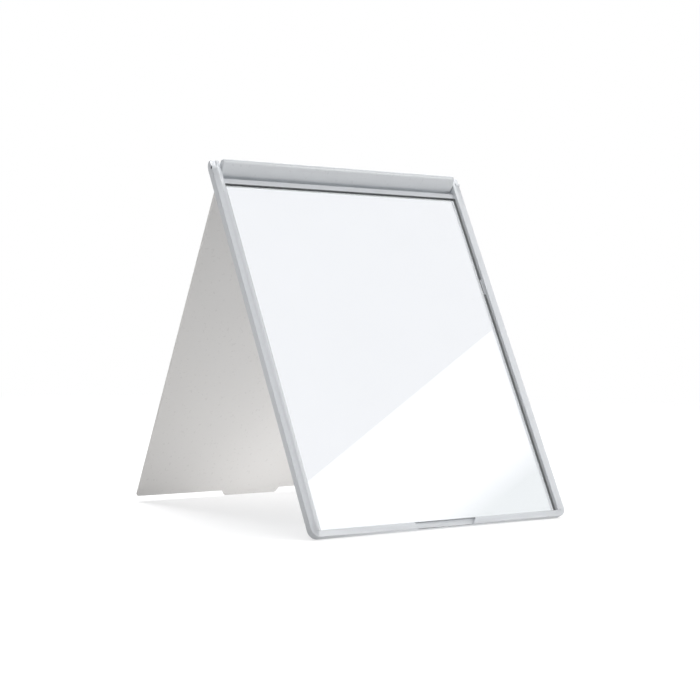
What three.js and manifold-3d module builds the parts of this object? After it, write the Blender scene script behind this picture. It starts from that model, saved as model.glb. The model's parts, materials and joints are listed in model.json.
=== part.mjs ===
// A folding mirror that stands on its own cover. A moulded tray holds the glass, and a flat cover
// with an oval full-width barrel turns on two pins between the tray's ears. The cover closes over the
// glass, or swings over the top and stands behind the tray as a leg.
// Sizes are millimetres. Each half is drawn with the hinge axis on x, z up along the panel
// and the front towards -y, and is then leaned into its standing place.
import * as THREE from 'three';
import * as BufferGeometryUtils from 'three/addons/utils/BufferGeometryUtils.js';
import Module from 'manifold-3d';

// Tray, seen from the front
const frameWidth = 125;
const frameLength = 153.2; // bottom edge to hinge axis
const sideWallWidth = 2.1;
const lipWidth = 1.78; // raised inner lip along each side rail, with its slope
const lipSlope = 0.4;
const bottomRailWidth = 2.5;
const crossbarWidth = 2;
const frontCornerRadius = 3.5;

// Tray, through its thickness, measured forward from the hinge axis
const railFront = 0.45;
const lipHeight = 0.3;
const sideWallDepth = 2.75; // flat part of the outer wall, back from the rail's front
const backWall = 1.1;
const frontEdgeRound = 0.25;

// Glass and the tape that holds it
const glassThickness = 1.0;
const glassSideGap = 1.0;
const glassTopGap = 0.9;
const glassSeam = 0.15; // ground edge of the glass
const glassBelowCover = 0.3;
const tapeThickness = 0.4;
const tapeWidth = 12;
const tapeInset = 9;
const tapeCount = 3;
const seatGap = 0.3; // between glass, tape and tray

// Hinge
const barrelReach = 3.87; // half of the oval, along the panel
const barrelHalfDepth = 1.5;
const barrelBlend = 0.5; // where the panel leaves the barrel
const barrelBlendAngle = THREE.MathUtils.degToRad(12);
const barrelEndChamfer = 0.35;
const earRadius = 2.3;
const earRise = 0.6; // ear's round end is centred this far above the pin
const earForward = 0.2; // and this far in front of it
const bossRadius = 0.95;
const pinRadius = 0.5;
const pinFit = 0.1;
const pinRecess = 0.2;
const pinInBarrel = 6;
const pinEndChamfer = 0.12;
const holeFlare = 0.15;

// Cover
const coverFront = 0.6;
const coverThickness = 1.0;
const coverCornerRadius = 1.2;
const tabLength = 2.45;
const tabEndWidth = 27.1;
const tabFlank = 1.5; // how much wider each flank is at the root
const tabEndRadius = 0.5;
const tabShort = 0.6; // tab end stops this far inside the tray's bottom edge

// Clearances
const coverSideGap = 0.3;
const coverSeatGap = 0.2;
const coverEndGap = 0.6; // cover's main edge to the bottom rail
const notchGap = 0.35;
const stopGap = 0.3; // crossbar's rear edge to the opened cover
const barrelGap = 0.41;

// Ribs that centre the glass in its pocket
const ribLength = 7;
const ribPlace = 104; // up from the bottom edge

// Standing pose
const leanAngle = THREE.MathUtils.degToRad(27.5);

// Faceting
const circleSteps = 64;
const cornerSteps = 8;
const edgeSteps = 3;
const overrun = 5; // cutters reach past what they cut

// Derived sizes, forward of the axis
const railWidth = sideWallWidth + lipWidth;
const lipFront = railFront + lipHeight;
const coverBack = coverFront - coverThickness;
const coverSeat = coverBack - coverSeatGap;
const glassFront = coverBack - glassBelowCover;
const glassBack = glassFront - glassThickness;
const tapeFront = glassBack - seatGap;
const pocketFloor = tapeFront - tapeThickness - seatGap;
const trayBack = pocketFloor - backWall;
const wallBack = railFront - sideWallDepth;
const backChamfer = wallBack - trayBack;

// Derived sizes, along the panel from the axis
const coverLength = frameLength - tabShort;
const coverMainLength = Math.min(coverLength - tabLength, frameLength - bottomRailWidth - coverEndGap);
const hingeHeight = frameLength * Math.cos(leanAngle) - wallBack * Math.sin(leanAngle);
const legReach = Math.hypot(coverLength, coverFront);
const legAngle = Math.atan2(coverFront, coverLength) + Math.acos(hingeHeight / legReach);
const openAngle = leanAngle + legAngle;
const stopReach = coverFront + stopGap - trayBack * Math.cos(openAngle);
const stopTop = -stopReach / Math.sin(openAngle); // crossbar's rear edge, where the leg would stop
const crossbarTop = -barrelReach - barrelGap;
const crossbarBottom = crossbarTop - crossbarWidth;
const pocketBottom = -frameLength + bottomRailWidth;
const pocketHalfWidth = frameWidth / 2 - railWidth;
const coverHalfWidth = pocketHalfWidth - coverSideGap;

const wasm = await Module();
wasm.setup();

// Shapes and solids

function solidOf(geometry) {
  const bare = geometry.clone();
  bare.deleteAttribute('normal');
  bare.deleteAttribute('uv');
  const merged = BufferGeometryUtils.mergeVertices(bare);
  const vertProperties = merged.attributes.position.array;
  const triVerts = new Uint32Array(merged.index.array);
  return new wasm.Manifold(new wasm.Mesh({ numProp: 3, vertProperties, triVerts }));
}

function geometryOf(solid) {
  const mesh = solid.getMesh();
  const geometry = new THREE.BufferGeometry();
  geometry.setAttribute('position', new THREE.BufferAttribute(mesh.vertProperties, 3));
  geometry.setIndex(new THREE.BufferAttribute(mesh.triVerts, 1));
  geometry.computeVertexNormals();
  return geometry;
}

// A box between two corners, given across, forward and up
function block(x0, x1, front0, front1, z0, z1) {
  const geometry = new THREE.BoxGeometry(x1 - x0, front1 - front0, z1 - z0);
  geometry.translate((x0 + x1) / 2, -(front0 + front1) / 2, (z0 + z1) / 2);
  return solidOf(geometry);
}

// An outline drawn in x and z, given thickness from back to front
function plate(shape, back, front, bevel = 0) {
  const geometry = new THREE.ExtrudeGeometry(shape, {
    depth: front - back - 2 * bevel,
    bevelEnabled: bevel > 0,
    bevelSize: bevel,
    bevelThickness: bevel,
    bevelOffset: -bevel,
    bevelSegments: 1,
  });
  const across = new THREE.Vector3(1, 0, 0);
  const up = new THREE.Vector3(0, 0, 1);
  const forward = new THREE.Vector3(0, -1, 0);
  geometry.translate(0, 0, back + bevel);
  geometry.applyMatrix4(new THREE.Matrix4().makeBasis(across, up, forward));
  return solidOf(geometry);
}

// A section drawn in y and z, run across the width
function bar(shape, x0, x1, bevel = 0) {
  const geometry = new THREE.ExtrudeGeometry(shape, {
    depth: x1 - x0 - 2 * bevel,
    bevelEnabled: bevel > 0,
    bevelSize: bevel,
    bevelThickness: bevel,
    bevelOffset: -bevel,
    bevelSegments: 1,
  });
  const rearward = new THREE.Vector3(0, 1, 0);
  const up = new THREE.Vector3(0, 0, 1);
  const across = new THREE.Vector3(1, 0, 0);
  geometry.translate(0, 0, x0 + bevel);
  geometry.applyMatrix4(new THREE.Matrix4().makeBasis(rearward, up, across));
  return solidOf(geometry);
}

// A round solid on the hinge axis, from a profile of [distance along x, radius]
function turned(profile) {
  const points = profile.map(([along, radius]) => new THREE.Vector2(radius, along));
  const geometry = new THREE.LatheGeometry(points, circleSteps / 2);
  geometry.rotateZ(-Math.PI / 2);
  return solidOf(geometry);
}

function arcPoints(centreX, centreY, radius, from, to, steps) {
  return Array.from({ length: steps + 1 }, (_, i) => {
    const angle = from + ((to - from) * i) / steps;
    return new THREE.Vector2(centreX + radius * Math.cos(angle), centreY + radius * Math.sin(angle));
  });
}

// A rectangle whose two lower corners are round
function roundFootOutline(halfWidth, bottom, top, radius) {
  const quarter = Math.PI / 2;
  return [
    new THREE.Vector2(-halfWidth, top),
    ...arcPoints(-halfWidth + radius, bottom + radius, radius, 2 * quarter, 3 * quarter, cornerSteps),
    ...arcPoints(halfWidth - radius, bottom + radius, radius, 3 * quarter, 4 * quarter, cornerSteps),
    new THREE.Vector2(halfWidth, top),
  ];
}

// A closed skin through matching convex rings, from back to front
function loft(rings) {
  const count = rings[0].length;
  const positions = rings.flatMap((ring) => ring.flatMap((point) => point.toArray()));
  const indices = [];
  for (let level = 0; level < rings.length - 1; level += 1) {
    for (let i = 0; i < count; i += 1) {
      const a = level * count + i;
      const b = level * count + ((i + 1) % count);
      indices.push(a, b, b + count, a, b + count, a + count);
    }
  }
  const last = (rings.length - 1) * count;
  for (let i = 1; i < count - 1; i += 1) {
    indices.push(0, i + 1, i);
    indices.push(last, last + i, last + i + 1);
  }
  const geometry = new THREE.BufferGeometry();
  geometry.setAttribute('position', new THREE.Float32BufferAttribute(positions, 3));
  geometry.setIndex(indices);
  return solidOf(geometry);
}

// Tray

// The tray's outer body: flat walls, a sloped edge round the back and a rounded front edge
function trayShell() {
  const ringAt = (forward, inset) => roundFootOutline(
    frameWidth / 2 - inset,
    -frameLength + inset,
    earRise + earRadius + overrun,
    frontCornerRadius - Math.min(inset, frontCornerRadius / 2),
  ).map((point) => new THREE.Vector3(point.x, -forward, point.y));
  const rings = [ringAt(trayBack, backChamfer), ringAt(wallBack, 0)];
  for (let i = 0; i <= edgeSteps; i += 1) {
    const angle = (Math.PI / 2) * (i / edgeSteps);
    const forward = railFront - frontEdgeRound * (1 - Math.sin(angle));
    rings.push(ringAt(forward, frontEdgeRound * (1 - Math.cos(angle))));
  }
  return loft(rings);
}

// The raised lip on the inner half of a side rail, at the right or mirrored to the left
function railLip(side) {
  const inner = pocketHalfWidth;
  const outer = inner + lipWidth;
  const section = new THREE.Shape([
    new THREE.Vector2(side * inner, -coverBack),
    new THREE.Vector2(side * inner, -lipFront),
    new THREE.Vector2(side * (outer - lipSlope), -lipFront),
    new THREE.Vector2(side * outer, -railFront),
    new THREE.Vector2(side * outer, -coverBack),
  ]);
  const length = earRise + earRadius - pocketBottom;
  const geometry = new THREE.ExtrudeGeometry(section, { depth: length, bevelEnabled: false });
  geometry.translate(0, 0, pocketBottom);
  return solidOf(geometry);
}

function earBoss(side) {
  const face = (side * frameWidth) / 2;
  const root = face - side * sideWallWidth;
  const ends = [Math.min(face, root), Math.max(face, root)];
  return turned([[ends[0], 0], [ends[0], bossRadius], [ends[1], bossRadius], [ends[1], 0]]);
}

// What the tray may fill, seen from the side: everything below, and the round ends of the ears
function earProfile() {
  const low = -frameLength - overrun;
  const shape = new THREE.Shape([
    new THREE.Vector2(-earForward - earRadius, low),
    ...arcPoints(-earForward, earRise, earRadius, Math.PI, 0, circleSteps / 2),
    new THREE.Vector2(-trayBack, stopTop),
    new THREE.Vector2(-trayBack, low),
  ]);
  return bar(shape, -frameWidth / 2 - overrun, frameWidth / 2 + overrun);
}

// Pocket for the glass, and the shallower seat of the cover above it
function trayPocket() {
  const front = lipFront + overrun;
  const glass = block(-pocketHalfWidth, pocketHalfWidth, pocketFloor, front, pocketBottom, crossbarBottom);
  const seatTop = crossbarTop + overrun;
  const seat = block(-pocketHalfWidth, pocketHalfWidth, coverSeat, front, pocketBottom, seatTop);
  return glass.add(seat);
}

// Space between the ears where the barrel turns. Its floor is the crossbar's top, which rises
// towards the rear edge that stops the opened cover.
function barrelSpace() {
  const top = earRise + earRadius + 2 * overrun;
  const front = -lipFront - overrun;
  const back = -trayBack + overrun;
  const shape = new THREE.Shape([
    new THREE.Vector2(front, crossbarTop),
    new THREE.Vector2(-coverSeat, crossbarTop),
    new THREE.Vector2(-trayBack, stopTop),
    new THREE.Vector2(back, stopTop),
    new THREE.Vector2(back, top),
    new THREE.Vector2(front, top),
  ]);
  return bar(shape, -pocketHalfWidth, pocketHalfWidth);
}

// The cover's tab, or the notch for it when grown by a clearance
function tabOutline(grow, end) {
  const root = -coverMainLength;
  const slope = tabFlank / tabLength;
  const flankGrow = grow * Math.hypot(1, slope);
  const halfAt = (z) => tabEndWidth / 2 + slope * (z + coverLength) + flankGrow;
  const top = root + overrun;
  return [
    new THREE.Vector2(-halfAt(root), top),
    new THREE.Vector2(-halfAt(root), root),
    new THREE.Vector2(-halfAt(end), end),
    new THREE.Vector2(halfAt(end), end),
    new THREE.Vector2(halfAt(root), root),
    new THREE.Vector2(halfAt(root), top),
  ];
}

function tabNotch() {
  const shape = new THREE.Shape(tabOutline(notchGap, -frameLength - overrun / 2));
  return plate(shape, coverSeat, lipFront + overrun);
}

// The hole for a pin, right through an ear, with a small flare at its mouth
function pinHole(side) {
  const radius = pinRadius + pinFit;
  const face = (side * frameWidth) / 2;
  const stations = [
    [face - side * (railWidth + overrun), 0],
    [face - side * (railWidth + overrun), radius],
    [face - side * holeFlare, radius],
    [face, radius + holeFlare],
    [face + side * holeFlare, radius + 2 * holeFlare],
    [face + side * holeFlare, 0],
  ];
  return turned(side > 0 ? stations : stations.reverse());
}

// A rib on each side wall of the pocket that centres the glass
function glassRibs() {
  const foot = -frameLength + ribPlace - ribLength / 2;
  const inner = pocketHalfWidth - glassSideGap + seatGap;
  const outer = pocketHalfWidth + sideWallWidth / 2;
  const floor = pocketFloor - backWall / 2;
  const right = block(inner, outer, floor, glassFront, foot, foot + ribLength);
  const left = block(-outer, -inner, floor, glassFront, foot, foot + ribLength);
  return left.add(right);
}

function frameTray() {
  const blank = trayShell()
    .add(railLip(-1))
    .add(railLip(1))
    .add(earBoss(-1))
    .add(earBoss(1))
    .intersect(earProfile());
  return blank
    .subtract(trayPocket())
    .subtract(barrelSpace())
    .subtract(tabNotch())
    .subtract(pinHole(-1))
    .subtract(pinHole(1))
    .add(glassRibs());
}

// Glass and tape

function rectangle(halfWidth, bottom, top) {
  return new THREE.Shape([
    new THREE.Vector2(-halfWidth, bottom),
    new THREE.Vector2(halfWidth, bottom),
    new THREE.Vector2(halfWidth, top),
    new THREE.Vector2(-halfWidth, top),
  ]);
}

function mirrorGlass() {
  const halfWidth = pocketHalfWidth - glassSideGap;
  const outline = rectangle(halfWidth, pocketBottom + seatGap, crossbarBottom - glassTopGap);
  return plate(outline, glassBack, glassFront, glassSeam);
}

function tapeStrip(index) {
  const bottom = pocketBottom + tapeInset;
  const pitch = (crossbarBottom - tapeInset - tapeWidth - bottom) / (tapeCount - 1);
  const foot = bottom + index * pitch;
  const outline = rectangle(pocketHalfWidth - tapeInset, foot, foot + tapeWidth);
  return plate(outline, tapeFront - tapeThickness, tapeFront);
}

// Cover and hinge pins

// From one face of the panel onto the oval, given as distance from the axis plane and height
function blendPoints(face) {
  const meeting = Math.acos(face / barrelHalfDepth);
  const leaving = meeting - barrelBlendAngle;
  const corner = -barrelReach * Math.sin(meeting);
  const onOval = new THREE.Vector2(
    barrelHalfDepth * Math.cos(leaving),
    -barrelReach * Math.sin(leaving),
  );
  const curve = new THREE.QuadraticBezierCurve(
    new THREE.Vector2(face, corner - barrelBlend),
    new THREE.Vector2(face, corner),
    onOval,
  );
  return { leaving, points: curve.getPoints(edgeSteps) };
}

// Panel and oval barrel in one section
function coverSection() {
  const front = blendPoints(coverFront);
  const back = blendPoints(-coverBack);
  const from = Math.PI + front.leaving;
  const sweep = from + back.leaving;
  const oval = Array.from({ length: circleSteps + 1 }, (_, i) => {
    const angle = from - (sweep * i) / circleSteps;
    return new THREE.Vector2(barrelHalfDepth * Math.cos(angle), barrelReach * Math.sin(angle));
  });
  return new THREE.Shape([
    new THREE.Vector2(-coverFront, -coverLength),
    ...front.points.map((point) => new THREE.Vector2(-point.x, point.y)),
    ...oval.slice(1, -1),
    ...back.points.reverse(),
    new THREE.Vector2(-coverBack, -coverLength),
  ]);
}

// The cover seen from the front: square at the barrel, round lower corners and the tab
function coverOutline() {
  const body = new THREE.Shape(roundFootOutline(
    coverHalfWidth,
    -coverMainLength,
    barrelReach + overrun,
    coverCornerRadius,
  ));
  const end = -coverLength;
  const corner = tabOutline(0, end)[2];
  const tip = corner.x + tabEndRadius;
  const tab = new THREE.Shape([
    ...tabOutline(0, end).slice(0, 2),
    new THREE.Vector2(corner.x - (tabFlank / tabLength) * tabEndRadius, end + tabEndRadius),
    new THREE.Vector2(tip, end),
    new THREE.Vector2(-tip, end),
    new THREE.Vector2(-corner.x + (tabFlank / tabLength) * tabEndRadius, end + tabEndRadius),
    ...tabOutline(0, end).slice(4),
  ]);
  const back = -barrelHalfDepth - overrun;
  const front = barrelHalfDepth + overrun;
  return plate(body, back, front).add(plate(tab, back, front));
}

function pinBore(side) {
  const radius = pinRadius + pinFit;
  const mouth = side * (coverHalfWidth + overrun);
  const blind = side * (coverHalfWidth - pinInBarrel - pinFit);
  const ends = [Math.min(mouth, blind), Math.max(mouth, blind)];
  return turned([[ends[0], 0], [ends[0], radius], [ends[1], radius], [ends[1], 0]]);
}

function coverPanel() {
  return bar(coverSection(), -coverHalfWidth, coverHalfWidth, barrelEndChamfer)
    .intersect(coverOutline())
    .subtract(pinBore(-1))
    .subtract(pinBore(1));
}

function hingePin(side) {
  const outer = frameWidth / 2 - pinRecess;
  const inner = coverHalfWidth - pinInBarrel;
  const stations = [
    [side * inner, 0],
    [side * inner, pinRadius - pinEndChamfer],
    [side * (inner + pinEndChamfer), pinRadius],
    [side * (outer - pinEndChamfer), pinRadius],
    [side * outer, pinRadius - pinEndChamfer],
    [side * outer, 0],
  ];
  return turned(side > 0 ? stations : stations.reverse());
}

// Materials

const trayPlastic = { color: 0xd9dce0, roughness: 0.38, metalness: 0 };
const coverPlastic = { color: 0xd8d8d7, roughness: 0.42, metalness: 0 };
const silveredGlass = { color: 0xf2f5f8, roughness: 0.03, metalness: 1 };
const foamTape = { color: 0xe9e9e4, roughness: 0.95, metalness: 0 };
const pinSteel = { color: 0x8d9196, roughness: 0.3, metalness: 1 };

function piece(name, solid, finish) {
  const mesh = new THREE.Mesh(geometryOf(solid), new THREE.MeshStandardMaterial(finish));
  mesh.name = name;
  return mesh;
}

// Assembly

const mirrorHalf = new THREE.Group();
mirrorHalf.add(piece('frame_tray', frameTray(), trayPlastic));
mirrorHalf.add(piece('mirror_glass', mirrorGlass(), silveredGlass));
for (let i = 0; i < tapeCount; i += 1) {
  mirrorHalf.add(piece(`glass_tape_${i + 1}`, tapeStrip(i), foamTape));
}
mirrorHalf.add(piece('hinge_pin_left', hingePin(-1), pinSteel));
mirrorHalf.add(piece('hinge_pin_right', hingePin(1), pinSteel));
mirrorHalf.rotation.x = -leanAngle;

const coverHalf = new THREE.Group();
coverHalf.add(piece('cover_panel', coverPanel(), coverPlastic));
coverHalf.rotation.x = legAngle;

// Both halves share the hinge axis, and the stand is centred over the point it stands on
const foldingMirror = new THREE.Group();
foldingMirror.add(mirrorHalf, coverHalf);
foldingMirror.updateMatrixWorld(true);
const bounds = new THREE.Box3().setFromObject(foldingMirror, true);
const hingeDepth = -(bounds.min.y + bounds.max.y) / 2;
mirrorHalf.position.set(0, hingeDepth, hingeHeight);
coverHalf.position.set(0, hingeDepth, hingeHeight);

export default foldingMirror;
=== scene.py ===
import json
import math

import bmesh
import bpy
from mathutils import Matrix, Vector


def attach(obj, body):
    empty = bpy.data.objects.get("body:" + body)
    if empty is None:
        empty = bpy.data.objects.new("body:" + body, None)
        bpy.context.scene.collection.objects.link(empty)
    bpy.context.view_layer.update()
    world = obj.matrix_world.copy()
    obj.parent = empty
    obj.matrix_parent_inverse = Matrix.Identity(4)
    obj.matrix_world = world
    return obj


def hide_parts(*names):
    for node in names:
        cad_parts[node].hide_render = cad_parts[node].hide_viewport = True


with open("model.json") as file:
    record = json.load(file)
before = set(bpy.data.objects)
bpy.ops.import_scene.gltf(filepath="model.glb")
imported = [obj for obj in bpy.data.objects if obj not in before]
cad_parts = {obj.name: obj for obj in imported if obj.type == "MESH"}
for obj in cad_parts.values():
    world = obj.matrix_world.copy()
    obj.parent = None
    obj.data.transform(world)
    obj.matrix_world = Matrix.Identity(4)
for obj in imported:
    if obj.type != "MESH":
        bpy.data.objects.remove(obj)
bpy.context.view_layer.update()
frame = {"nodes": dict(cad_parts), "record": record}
nodes = frame["nodes"]
hinge = Vector(frame["record"]["behaviour"]["joints"][0]["pos_m"])
scene = bpy.context.scene
scene.view_settings.view_transform = "Standard"
mm = 0.001


# The leaning tray's own directions, read from the glass: across, rearward and up along it

def trayDirections():
    faces = [face for face in nodes["mirror_glass"].data.polygons if face.normal.y < 0]
    forward = max(faces, key=lambda face: face.area).normal.copy()
    across = Vector((1, 0, 0))
    return across, -forward, forward.cross(across)


trayAxes = trayDirections()


def reach(node, direction):
    places = [vertex.co.dot(direction) for vertex in nodes[node].data.vertices]
    return min(places), max(places)


# Material helpers

noiseRange = (0.3, 0.7)  # most of the noise's values lie between these
noiseDetail = {"grain": 2, "cloud": 3, "plastic": 4}


def newMaterial(name):
    material = bpy.data.materials.new(name)
    material.use_nodes = True
    tree = material.node_tree
    tree.nodes.clear()
    return material, tree


def addSurface(tree, look):
    surface = tree.nodes.new("ShaderNodeBsdfPrincipled")
    output = tree.nodes.new("ShaderNodeOutputMaterial")
    surface.inputs["Base Color"].default_value = (*look["color"], 1)
    surface.inputs["Roughness"].default_value = look["roughness"]
    tree.links.new(surface.outputs["BSDF"], output.inputs["Surface"])
    return surface


def addNoise(tree, repeats, kind):
    place = tree.nodes.new("ShaderNodeTexCoord")
    noise = tree.nodes.new("ShaderNodeTexNoise")
    noise.inputs["Scale"].default_value = repeats
    noise.inputs["Detail"].default_value = noiseDetail[kind]
    tree.links.new(place.outputs["Object"], noise.inputs["Vector"])
    return noise.outputs["Fac"]


def remap(tree, value, low, high, start=noiseRange[0], end=noiseRange[1]):
    ramp = tree.nodes.new("ShaderNodeMapRange")
    ramp.inputs["From Min"].default_value = start
    ramp.inputs["From Max"].default_value = end
    ramp.inputs["To Min"].default_value = low
    ramp.inputs["To Max"].default_value = high
    tree.links.new(value, ramp.inputs["Value"])
    return ramp.outputs["Result"]


def mixColors(tree, factor, first, second):
    blend = tree.nodes.new("ShaderNodeMix")
    blend.data_type = "RGBA"
    tree.links.new(factor, blend.inputs["Factor"])
    for socket, color in ((blend.inputs["A"], first), (blend.inputs["B"], second)):
        if isinstance(color, tuple):
            socket.default_value = (*color, 1)
        else:
            tree.links.new(color, socket)
    return blend.outputs["Result"]


def shade(color, amount):
    return tuple(channel * amount for channel in color)


def addCloud(tree, cloud, color, look):
    low, high = shade(color, 1 - look["cloud"]), shade(color, 1 + look["cloud"])
    return mixColors(tree, cloud, low, high)


def makeCloudy(name, look):
    material, tree = newMaterial(name)
    surface = addSurface(tree, look)
    cloud = remap(tree, addNoise(tree, look["cloudRepeats"], "cloud"), 0, 1)
    tree.links.new(addCloud(tree, cloud, look["color"], look), surface.inputs["Base Color"])
    return material, surface


def addGrain(tree, surface, look):
    bump = tree.nodes.new("ShaderNodeBump")
    bump.inputs["Distance"].default_value = look["grainHeight"] * mm
    tree.links.new(addNoise(tree, look["grainRepeats"], "grain"), bump.inputs["Height"])
    tree.links.new(bump.outputs["Normal"], surface.inputs["Normal"])


# What the tray's and the cover's plastic share: an uneven polish and a fine grain

def finishPlastic(tree, surface, cloud, look):
    spread = look["roughnessSpread"]
    rough = remap(tree, cloud, look["roughness"] - spread, look["roughness"] + spread, 0, 1)
    tree.links.new(rough, surface.inputs["Roughness"])
    surface.inputs["Specular IOR Level"].default_value = look["specular"]
    addGrain(tree, surface, look)


# Mesh helpers

def addObject(name, work, materials):
    mesh = bpy.data.meshes.new(name)
    work.to_mesh(mesh)
    work.free()
    for material in materials:
        mesh.materials.append(material)
    thing = bpy.data.objects.new(name, mesh)
    scene.collection.objects.link(thing)
    return thing


def addPiece(name, work, materials, body):
    piece = addObject(name, work, materials)
    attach(piece, body)
    return piece


# Mouldings: copies of the tray's and the cover's solids, with their edges eased

mouldingFinish = {
    "weld": 0.002,  # mm
    "tidyWeld": 0.035,  # mm, closes the slivers that the cuts leave before the edges are rounded
    "flatAngle": math.radians(0.6),
    "crispAngle": math.radians(40),
    "edgeRound": 0.11,  # mm
    "roundSegments": 3,
    "plainZone": 7.0,  # mm round the hinge axis, where the fine shapes keep their own edges
    "narrowFace": 0.9,  # mm
    "longSide": 0.5,  # share of a face's longest edge, to count as one of its long sides
    "gentleTurn": (math.radians(2.2), math.radians(34)),  # between two faces of one round
}


def weldedCopy(node):
    work = bmesh.new()
    work.from_mesh(nodes[node].data)
    bmesh.ops.remove_doubles(work, verts=work.verts, dist=mouldingFinish["weld"] * mm)
    bmesh.ops.dissolve_limit(
        work, angle_limit=mouldingFinish["flatAngle"], verts=work.verts, edges=work.edges
    )
    return work


def fromHinge(vertex):
    return math.hypot(vertex.co.y - hinge.y, vertex.co.z - hinge.z)


# A narrow face that turns only a little from its neighbour belongs to a round, the others stay flat

def isRounded(face):
    longest = max(edge.calc_length() for edge in face.edges)
    if face.calc_area() / longest > mouldingFinish["narrowFace"] * mm:
        return False
    least = longest * mouldingFinish["longSide"]
    sides = [edge for edge in face.edges if edge.is_manifold and edge.calc_length() > least]
    low, high = mouldingFinish["gentleTurn"]
    return any(low < edge.calc_face_angle() < high for edge in sides)


def easedPiece(node, name, body, materials, work):
    plain = mouldingFinish["plainZone"] * mm
    outside = [vertex for vertex in work.verts if fromHinge(vertex) > plain]
    bmesh.ops.remove_doubles(work, verts=outside, dist=mouldingFinish["tidyWeld"] * mm)
    crisp = [
        edge for edge in work.edges
        if edge.is_manifold and edge.calc_face_angle() > mouldingFinish["crispAngle"]
        and all(fromHinge(vertex) > plain for vertex in edge.verts)
    ]
    bmesh.ops.bevel(
        work, geom=crisp, offset=mouldingFinish["edgeRound"] * mm, offset_type="OFFSET",
        affect="EDGES", segments=mouldingFinish["roundSegments"], profile=0.5, material=-1,
        clamp_overlap=False,
    )
    for face in work.faces:
        face.smooth = isRounded(face)
    piece = addPiece(name, work, materials, body)
    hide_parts(node)
    piece.data.set_sharp_from_angle(angle=mouldingFinish["gentleTurn"][1])


# Tray

trayPlastic = {
    "color": (0.712, 0.735, 0.765),
    "roughness": 0.2,
    "roughnessSpread": 0.008,
    "specular": 0.6,
    "cloudRepeats": 700,
    "cloud": 0.004,
    "grainRepeats": 5200,
    "grainHeight": 0.002,  # mm
}


def makeTrayPlastic():
    material, tree = newMaterial("trayPlastic")
    surface = addSurface(tree, trayPlastic)
    cloud = remap(tree, addNoise(tree, trayPlastic["cloudRepeats"], "plastic"), 0, 1)
    color = addCloud(tree, cloud, trayPlastic["color"], trayPlastic)
    tree.links.new(color, surface.inputs["Base Color"])
    finishPlastic(tree, surface, cloud, trayPlastic)
    return material


# Painted shade: inside the pocket, below the glass's front, the plastic is given a dark colour for the
# shade of the narrow gap

pocketPaintedShade = {"color": (0.29, 0.3, 0.31), "roughness": 0.8, "cloudRepeats": 60, "cloud": 0.1}
pocketMargin = 1.4  # mm, from the glass's edge to past the pocket's wall
pocketFloorMargin = 1.5  # mm, from the glass's back to past the pocket's floor
railEndCut = 4.0  # mm, from the glass's ends


def inPocket(place):
    allMargins = ((pocketMargin, pocketMargin), (0, pocketFloorMargin), (pocketMargin, pocketMargin))
    for direction, margins in zip(trayAxes, allMargins):
        first, last = reach("mirror_glass", direction)
        along = place.dot(direction)
        if not first - margins[0] * mm <= along <= last + margins[1] * mm:
            return False
    return True


def cutAcross(work, direction, distance):
    bmesh.ops.bisect_plane(
        work, geom=work.verts[:] + work.edges[:] + work.faces[:], plane_co=direction * distance,
        plane_no=direction,
    )


def makeTray():
    work = weldedCopy("frame_tray")
    rearward, up = trayAxes[1:]
    cutAcross(work, rearward, reach("mirror_glass", rearward)[0])
    bottom, top = reach("mirror_glass", up)
    for distance in (bottom + railEndCut * mm, (bottom + top) / 2, top - railEndCut * mm):
        cutAcross(work, up, distance)  # an end's uneven shading then stops short of the middle
    # the faces inside the pocket take the second material, the painted shade
    for face in work.faces:
        face.material_index = 1 if inPocket(face.calc_center_median()) else 0
    materials = [makeTrayPlastic(), makeCloudy("pocketPaintedShade", pocketPaintedShade)[0]]
    easedPiece("frame_tray", "trayMoulding", "mirror_body", materials, work)


makeTray()
print("tray ready")

# Cover

coverPlastic = {
    "color": (0.712, 0.735, 0.76),
    "panelColor": (0.75, 0.735, 0.718),  # painted light: the thin panel is warmer than the barrel, for the light that shines through it
    "warmFrom": 4.0,  # mm below the hinge axis
    "warmTo": 9.0,
    "roughness": 0.28,
    "roughnessSpread": 0.008,
    "specular": 0.5,
    "cloudRepeats": 700,
    "cloud": 0.004,
    "grainRepeats": 5200,
    "grainHeight": 0.002,  # mm
}
coverCut = 8.0  # mm below the hinge axis, where the edges start to be rounded


def makeCoverPlastic():
    material, tree = newMaterial("coverPlastic")
    surface = addSurface(tree, coverPlastic)
    place = tree.nodes.new("ShaderNodeTexCoord")
    height = tree.nodes.new("ShaderNodeSeparateXYZ")
    tree.links.new(place.outputs["Object"], height.inputs["Vector"])
    start = hinge.z - coverPlastic["warmTo"] * mm
    end = hinge.z - coverPlastic["warmFrom"] * mm
    barrel = remap(tree, height.outputs["Z"], 0, 1, start, end)
    # painted light: below the barrel the panel takes the warmer colour, for the light through the thin
    # plastic
    tone = mixColors(tree, barrel, coverPlastic["panelColor"], coverPlastic["color"])
    cloud = remap(tree, addNoise(tree, coverPlastic["cloudRepeats"], "plastic"), 0, 1)
    tint = addCloud(tree, cloud, (1, 1, 1), coverPlastic)
    product = tree.nodes.new("ShaderNodeMix")
    product.data_type = "RGBA"
    product.blend_type = "MULTIPLY"
    product.inputs["Factor"].default_value = 1
    tree.links.new(tone, product.inputs["A"])
    tree.links.new(tint, product.inputs["B"])
    tree.links.new(product.outputs["Result"], surface.inputs["Base Color"])
    finishPlastic(tree, surface, cloud, coverPlastic)
    return material


coverWork = weldedCopy("cover_panel")
cutAcross(coverWork, Vector((0, 0, 1)), hinge.z - coverCut * mm)
easedPiece(
    "cover_panel", "coverMoulding", "cover_body", [makeCoverPlastic()], coverWork
)
print("cover ready")

# Glass: a clear plate with a ground edge, the silver behind it and the paint behind that

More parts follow.
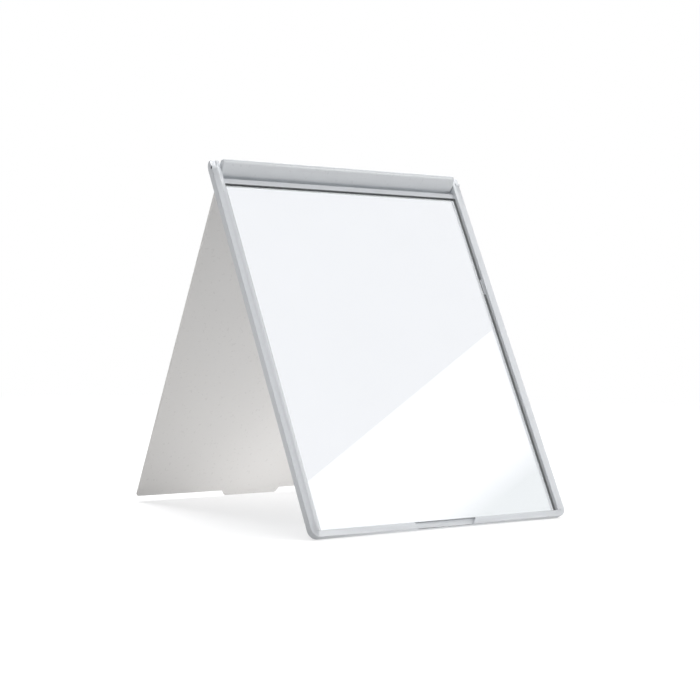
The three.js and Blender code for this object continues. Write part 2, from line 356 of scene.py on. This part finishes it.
glassPlate = {
    "color": (0.995, 1.0, 0.995),
    "roughness": 0.0,
    "ior": 1.5,
    "hazeRepeats": 40,
    "haze": 0.004,
    "edgeAngle": math.radians(20),  # faces turned this far from the front are ground
}

groundEdge = {"color": (0.84, 0.88, 0.87), "roughness": 0.25, "grainRepeats": 2500, "grain": 0.05}

silverCoat = {
    "color": (0.922, 0.93, 0.97),
    "roughness": 0.0,
    "cloudRepeats": 9,
    "cloud": 0.004,
    "margin": 0.02,  # mm, bare glass round the silver
    "behindGlass": 0.01,
    "thickness": 0.02,
}

backPaint = {
    "color": (0.62, 0.63, 0.63),
    "roughness": 0.6,
    "cloudRepeats": 60,
    "cloud": 0.03,
    "behindSilver": 0.01,
    "thickness": 0.06,
}


def makeGlassFinish(name, look, repeats, spread):
    material, tree = newMaterial(name)
    surface = addSurface(tree, look)
    surface.inputs["Transmission Weight"].default_value = 1
    surface.inputs["IOR"].default_value = glassPlate["ior"]
    haze = remap(tree, addNoise(tree, repeats, "grain"), 0, 1)
    tint = mixColors(tree, haze, shade(look["color"], 1 - spread), look["color"])
    tree.links.new(tint, surface.inputs["Base Color"])
    return material


def makeGlass():
    rearward = trayAxes[1]
    leastTurned = math.cos(glassPlate["edgeAngle"])
    work = weldedCopy("mirror_glass")
    for face in work.faces:
        face.material_index = 0 if abs(face.normal.dot(rearward)) > leastTurned else 1
    clear = makeGlassFinish("clearGlass", glassPlate, glassPlate["hazeRepeats"], glassPlate["haze"])
    ground = makeGlassFinish("groundEdge", groundEdge, groundEdge["grainRepeats"], groundEdge["grain"])
    plate = addPiece("glassPlate", work, [clear, ground], "mirror_body")
    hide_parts("mirror_glass")


def addSheet(name, material, margin, front, thickness):
    low, high = [], []
    for direction in trayAxes:
        first, last = reach("mirror_glass", direction)
        low.append(first + margin * mm)
        high.append(last - margin * mm)
    low[1], high[1] = front, front + thickness * mm
    size = [high[i] - low[i] for i in range(3)]
    centre = [(high[i] + low[i]) / 2 for i in range(3)]
    turn = Matrix(trayAxes).transposed().to_4x4()
    work = bmesh.new()
    bmesh.ops.create_cube(work, size=1)
    bmesh.ops.transform(
        work, matrix=turn @ Matrix.Translation(centre) @ Matrix.Diagonal((*size, 1)), verts=work.verts
    )
    addPiece(name, work, [material], "mirror_body")
    return high[1]


def makeSilver():
    material, surface = makeCloudy("silverCoat", silverCoat)
    surface.inputs["Metallic"].default_value = 1
    glassBack = reach("mirror_glass", trayAxes[1])[1]
    silverBack = addSheet(
        "silverCoat", material, silverCoat["margin"], glassBack + silverCoat["behindGlass"] * mm,
        silverCoat["thickness"],
    )
    paint = makeCloudy("backPaint", backPaint)[0]
    addSheet("backPaint", paint, 0, silverBack + backPaint["behindSilver"] * mm, backPaint["thickness"])


makeGlass()
makeSilver()
print("glass ready")

# Tape and pins keep their solids

foamTape = {"color": (0.82, 0.82, 0.79), "roughness": 0.95, "cloudRepeats": 2600, "cloud": 0.08}
pinSteel = {"color": (0.1, 0.105, 0.11), "roughness": 0.5, "cloudRepeats": 3000, "cloud": 0.1}


def finishNode(name, material):
    slots = nodes[name].data.materials
    slots.clear()
    slots.append(material)


foam = makeCloudy("foamTape", foamTape)[0]
steel, steelSurface = makeCloudy("pinSteel", pinSteel)
steelSurface.inputs["Metallic"].default_value = 1
for name in nodes:
    if name.startswith("glass_tape"):
        finishNode(name, foam)
    if name.startswith("hinge_pin"):
        finishNode(name, steel)
print("tape and pins ready")

# Studio

# The camera's place and aim were fitted to edges measured in the photograph
cameraSettings = {
    "place": (-391.457 * mm, -537.676 * mm + hinge.y, 81.976 * mm),
    "yaw": 0.6364,  # radians to the right of straight ahead
    "pitch": -0.0758,
    "roll": 0.0123,
    "lens": 82.735,  # mm
    "sensor": 36,
    "riseShift": 0.12,
    "clip": (0.01, 50),  # metres
}

floorSettings = {
    "halfSide": 6.0,
    "bounceColor": (0.35, 0.35, 0.35, 1),
    "glowProfile": ((0.0, 1.0), (0.05, 0.85), (0.1, 0.1), (0.2, 1.0), (0.4, 0.0)),  # metres, level
    "seenColor": (0.42, 0.42, 0.425, 1),  # the part of the floor's white that takes the shadow
    "seenGlow": 0.62,
    "shadowReach": (0.25, 0.9),  # metres from the mirror over which the floor turns plain white
}

worldSettings = {"fillColor": (0.96, 0.98, 1.0, 1), "fillStrength": 0.02, "seenStrength": 1.0}

lampSettings = {
    "topLight": {"place": (0.1, 0.1, 1.4), "size": (0.8, 0.8), "power": 11.0, "mirrored": True},
    "backLight": {"place": (0.1, 0.7, 1.1), "size": (0.8, 0.8), "power": 12.0, "mirrored": True},
    "rightLight": {"place": (0.95, -0.6, 0.6), "size": (0.6, 0.6), "power": 4.2, "mirrored": False},
    "keyLight": {"place": (-0.83, -0.65, 0.87), "size": (0.15, 0.36), "power": 3.6, "mirrored": True},
    "gleamLight": {"place": (0.70, -0.93, 0.38), "size": (0.25, 0.3), "power": 2.7, "mirrored": True},
}
lampAim = Vector((0, 0, 0.07))


def makeCamera():
    yaw, pitch, roll = (cameraSettings[k] for k in ("yaw", "pitch", "roll"))
    ahead = Vector((math.sin(yaw) * math.cos(pitch), math.cos(yaw) * math.cos(pitch), math.sin(pitch)))
    level = Vector((math.cos(yaw), -math.sin(yaw), 0))
    above = level.cross(ahead)
    right = math.cos(roll) * level + math.sin(roll) * above
    top = math.cos(roll) * above - math.sin(roll) * level
    data = bpy.data.cameras.new("photoCamera")
    data.lens = cameraSettings["lens"]
    data.sensor_width = cameraSettings["sensor"]
    data.shift_y = cameraSettings["riseShift"]
    data.clip_start, data.clip_end = cameraSettings["clip"]
    camera = bpy.data.objects.new("photoCamera", data)
    scene.collection.objects.link(camera)
    turn = Matrix((right, top, -ahead)).transposed().to_4x4()
    camera.matrix_world = Matrix.Translation(cameraSettings["place"]) @ turn
    scene.camera = camera


# 1 for the rays that show the white floor and world, 0 for those that only light the mirror

def addSeenRay(tree):
    path = tree.nodes.new("ShaderNodeLightPath")
    first = tree.nodes.new("ShaderNodeMath")
    first.operation = "MAXIMUM"
    second = tree.nodes.new("ShaderNodeMath")
    second.operation = "MAXIMUM"
    tree.links.new(path.outputs["Is Camera Ray"], first.inputs[0])
    tree.links.new(path.outputs["Is Glossy Ray"], first.inputs[1])
    tree.links.new(first.outputs["Value"], second.inputs[0])
    tree.links.new(path.outputs["Is Transmission Ray"], second.inputs[1])
    return second.outputs["Value"]


def addShaderMix(tree, factor, first, second):
    pick = tree.nodes.new("ShaderNodeMixShader")
    tree.links.new(factor, pick.inputs["Fac"])
    tree.links.new(first, pick.inputs[1])
    tree.links.new(second, pick.inputs[2])
    return pick.outputs["Shader"]


def addDiffuse(tree, color):
    surface = tree.nodes.new("ShaderNodeBsdfDiffuse")
    surface.inputs["Color"].default_value = color
    return surface.outputs["BSDF"]


def addGlow(tree, strength):
    glow = tree.nodes.new("ShaderNodeEmission")
    if isinstance(strength, float):
        glow.inputs["Strength"].default_value = strength
    else:
        tree.links.new(strength, glow.inputs["Strength"])
    return glow.outputs["Emission"]


def addBoth(tree, first, second):
    both = tree.nodes.new("ShaderNodeAddShader")
    tree.links.new(first, both.inputs[0])
    tree.links.new(second, both.inputs[1])
    return both.outputs["Shader"]


def addProfile(tree, distance, stops):
    reachOut = stops[-1][0]
    ramp = tree.nodes.new("ShaderNodeValToRGB")
    elements = ramp.color_ramp.elements
    while len(elements) < len(stops):
        elements.new(1)
    for element, (place, level) in zip(elements, stops):
        element.position = place / reachOut
        element.color = (level, level, level, 1)
    tree.links.new(remap(tree, distance, 0, 1, 0, reachOut), ramp.inputs["Fac"])
    return ramp.outputs["Color"]


def makeFloor():
    work = bmesh.new()
    bmesh.ops.create_grid(work, x_segments=1, y_segments=1, size=floorSettings["halfSide"])
    material, tree = newMaterial("floorWhite")
    place = tree.nodes.new("ShaderNodeTexCoord")
    away = tree.nodes.new("ShaderNodeVectorMath")
    away.operation = "LENGTH"
    tree.links.new(place.outputs["Object"], away.inputs[0])
    far = remap(tree, away.outputs["Value"], 0, 1, *floorSettings["shadowReach"])
    shadowed = addBoth(
        tree, addDiffuse(tree, floorSettings["seenColor"]), addGlow(tree, floorSettings["seenGlow"])
    )
    seen = addShaderMix(tree, far, shadowed, addGlow(tree, 1.0))
    glow = addProfile(tree, away.outputs["Value"], floorSettings["glowProfile"])
    bounce = addBoth(tree, addDiffuse(tree, floorSettings["bounceColor"]), addGlow(tree, glow))
    output = tree.nodes.new("ShaderNodeOutputMaterial")
    tree.links.new(addShaderMix(tree, addSeenRay(tree), bounce, seen), output.inputs["Surface"])
    floor = addObject("studioFloor", work, [material])


# What the mirror shows low down: a bright white strip and a paler one under it

mirroredCard = {
    "place": (0.5719, -0.4839, 0.5923),
    "across": (-0.61519, -0.78838, 0.0),  # unit directions in the card's plane
    "upward": (-0.47711, 0.37230, 0.79609),
    "halfWidth": 0.3,
    "top": 0.008,  # metres along upward
    "border": (-0.122, -0.100),
    "bottom": -0.26,
    "whiteGlow": (1.12, 1.12, 1.12),
    "paleGlow": (0.955, 0.973, 0.963),
}


def makeMirroredCard():
    place, across, upward = (Vector(mirroredCard[key]) for key in ("place", "across", "upward"))
    work = bmesh.new()
    corners = []
    for side, height in ((-1, "bottom"), (1, "bottom"), (1, "top"), (-1, "top")):
        corner = place + across * side * mirroredCard["halfWidth"] + upward * mirroredCard[height]
        corners.append(work.verts.new(corner))
    work.faces.new(corners)
    material, tree = newMaterial("mirroredCard")
    coords = tree.nodes.new("ShaderNodeTexCoord")
    along = tree.nodes.new("ShaderNodeVectorMath")
    along.operation = "DOT_PRODUCT"
    tree.links.new(coords.outputs["Object"], along.inputs[0])
    along.inputs[1].default_value = upward
    start, end = (place.dot(upward) + edge for edge in mirroredCard["border"])
    white = remap(tree, along.outputs["Value"], 0, 1, start, end)
    glow = tree.nodes.new("ShaderNodeEmission")
    color = mixColors(tree, white, mirroredCard["paleGlow"], mirroredCard["whiteGlow"])
    tree.links.new(color, glow.inputs["Color"])
    output = tree.nodes.new("ShaderNodeOutputMaterial")
    tree.links.new(glow.outputs["Emission"], output.inputs["Surface"])
    card = addObject("mirroredCard", work, [material])
    for kind in ("camera", "diffuse", "shadow"):
        setattr(card, "visible_" + kind, False)


def makeWorld():
    world = bpy.data.worlds.new("studioWorld")
    scene.world = world
    world.use_nodes = True
    tree = world.node_tree
    tree.nodes.clear()
    fill = tree.nodes.new("ShaderNodeBackground")
    fill.inputs["Color"].default_value = worldSettings["fillColor"]
    fill.inputs["Strength"].default_value = worldSettings["fillStrength"]
    shown = tree.nodes.new("ShaderNodeBackground")
    shown.inputs["Color"].default_value = (1, 1, 1, 1)
    shown.inputs["Strength"].default_value = worldSettings["seenStrength"]
    output = tree.nodes.new("ShaderNodeOutputWorld")
    fillShader, shownShader = fill.outputs["Background"], shown.outputs["Background"]
    mixed = addShaderMix(tree, addSeenRay(tree), fillShader, shownShader)
    tree.links.new(mixed, output.inputs["Surface"])


def makeLamp(name, settings):
    data = bpy.data.lights.new(name, "AREA")
    data.shape = "RECTANGLE"
    data.size, data.size_y = settings["size"]
    data.energy = settings["power"]
    lamp = bpy.data.objects.new(name, data)
    scene.collection.objects.link(lamp)
    place = Vector(settings["place"])
    lamp.location = place
    lamp.rotation_mode = "QUATERNION"
    lamp.rotation_quaternion = (lampAim - place).to_track_quat("-Z", "Y")
    lamp.visible_glossy = settings["mirrored"]
    lamp.visible_transmission = False


makeCamera()
makeFloor()
makeMirroredCard()
makeWorld()
for name, settings in lampSettings.items():
    makeLamp(name, settings)
print("studio ready")
